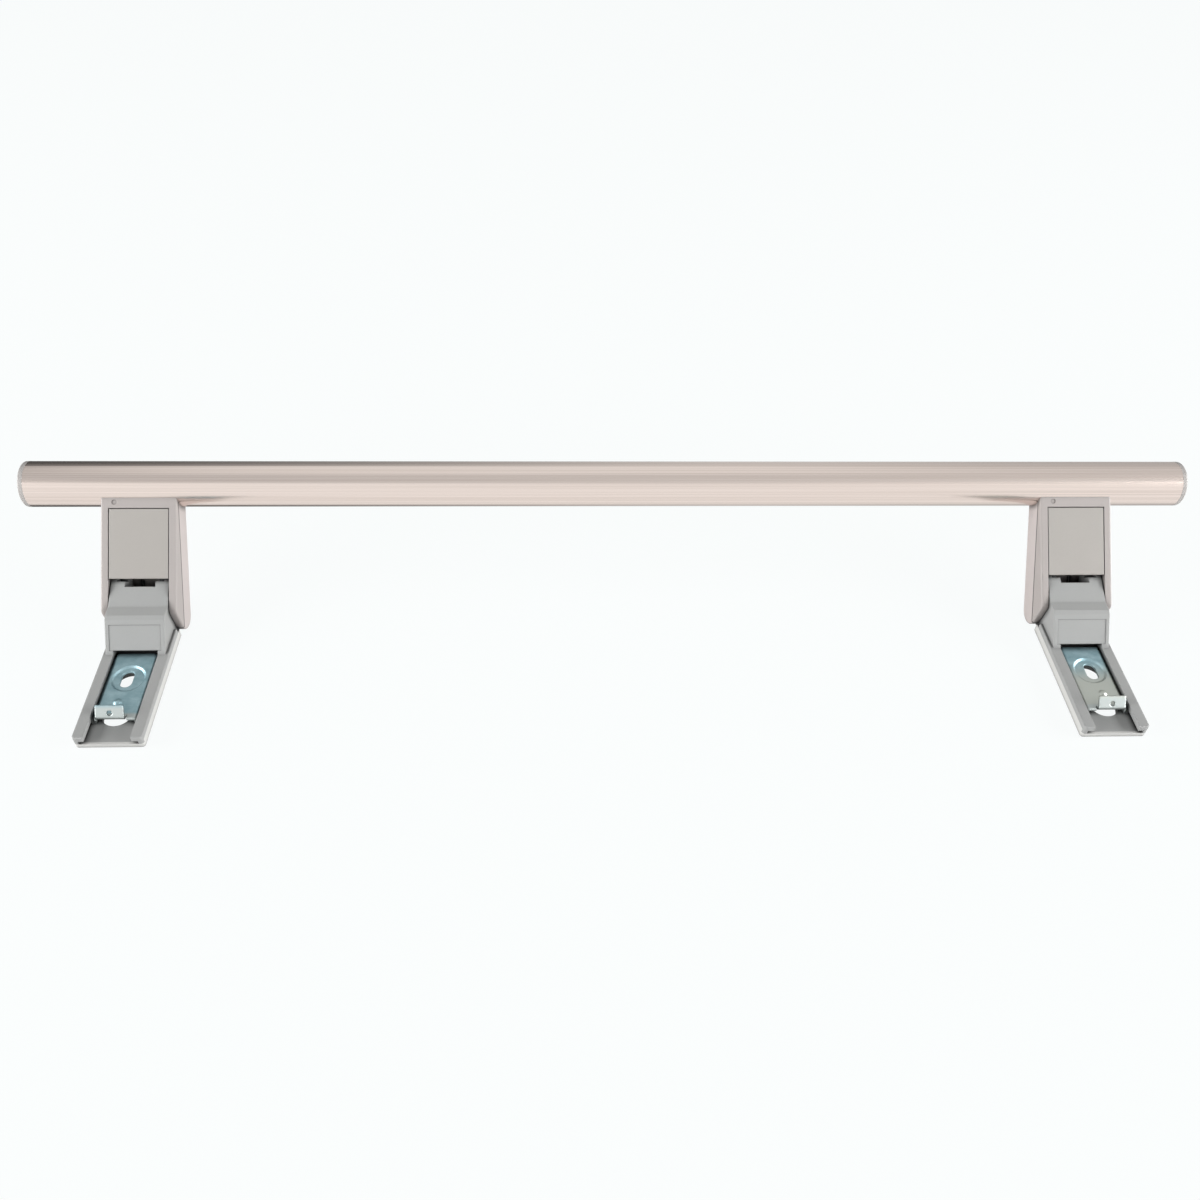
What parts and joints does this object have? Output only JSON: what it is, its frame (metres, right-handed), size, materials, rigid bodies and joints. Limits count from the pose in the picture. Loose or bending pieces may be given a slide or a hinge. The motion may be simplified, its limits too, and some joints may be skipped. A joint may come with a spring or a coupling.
{
  "type": "refrigerator door handle",
  "caption": "Bar handle for a refrigerator door: round tube carried by pivoting lever arms on rail feet with pressed mounting plates.",
  "frame": {"origin": "on the door's face, half way between the two brackets and straight under the pivot axis", "axes": "+X along the bar, +Y from the feet towards the bar, +Z out of the door"},
  "size_m": [0.48, 0.1079, 0.0564],
  "materials": {
    "tube_steel": "satin, brushed along the tube",
    "cap_plastic": "satin silver",
    "lever_plastic": "satin silver paint on moulded plastic",
    "cover_plastic": "satin silver paint on moulded plastic",
    "bearing_plastic": "fine matt grey, moulded through",
    "tray_plastic": "fine matt light grey",
    "zinc_plate": "bright zinc plate, faintly blue",
    "zinc_steel": "bright zinc plate",
    "bright_steel": "ground steel",
    "spring_wire": "drawn spring wire"
  },
  "bodies": {
    "left_foot": {"left_bearing_rail": "bearing_plastic", "left_foot_tray": "tray_plastic", "left_mounting_plate": "zinc_plate", "left_return_spring": "spring_wire"},
    "grip": {"tube": "tube_steel", "left_end_cap": "cap_plastic", "right_end_cap": "cap_plastic", "left_lever_shell": "lever_plastic", "left_lever_frame": "lever_plastic", "left_lever_cover": "cover_plastic", "left_tube_screw": "zinc_steel", "left_tube_nut": "zinc_steel", "left_pivot_pin": "bright_steel", "right_lever_shell": "lever_plastic", "right_lever_frame": "lever_plastic", "right_lever_cover": "cover_plastic", "right_tube_screw": "zinc_steel", "right_tube_nut": "zinc_steel", "right_pivot_pin": "bright_steel"},
    "right_foot": {"right_bearing_rail": "bearing_plastic", "right_foot_tray": "tray_plastic", "right_mounting_plate": "zinc_plate", "right_return_spring": "spring_wire"}
  },
  "joints": [
    {"name": "handle_pull", "type": "hinge", "parent": "left_foot", "child": "grip", "pos_m": [-0.193, 0, 0.0062], "axis": [1, 0, 0], "range_deg": [0, 15], "stiffness_Nm_per_rad": 2, "springref_deg": -17.19, "deforming": ["left_return_spring"]},
    {"name": "right_foot_pivot", "type": "hinge", "parent": "grip", "child": "right_foot", "pos_m": [0.193, 0, 0.0062], "axis": [1, 0, 0], "range_deg": [-15, 0], "deforming": ["right_return_spring"]}
  ],
  "couplings": [
    {"joint": "right_foot_pivot", "follows": "handle_pull", "ratio": -1}
  ]
}
